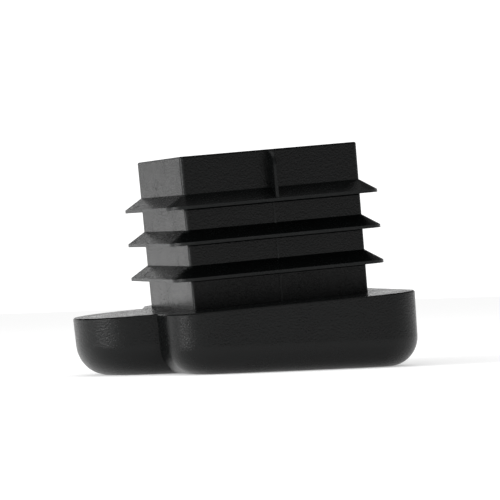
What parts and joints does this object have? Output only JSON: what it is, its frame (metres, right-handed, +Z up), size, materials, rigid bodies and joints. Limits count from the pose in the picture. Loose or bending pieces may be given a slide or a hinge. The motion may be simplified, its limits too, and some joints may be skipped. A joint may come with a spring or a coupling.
{
  "type": "tube end cap",
  "caption": "Ribbed push-in plug for square tube on a leaning wedge foot with a rounded side lobe, moulded in one piece.",
  "frame": {"origin": "the point of the flat sole that the tube's axis passes through", "axes": "+Z up, square to the sole; -Y towards the toe and the front of the plug, -X towards the side lobe; the tube's axis leans a few degrees from +Z towards -X and -Y"},
  "size_m": [0.0543, 0.0527, 0.0388],
  "materials": {
    "black_plastic": "fine grained, slightly satin black"
  },
  "bodies": {
    "root": {"end_cap": "black_plastic"}
  },
  "joints": []
}
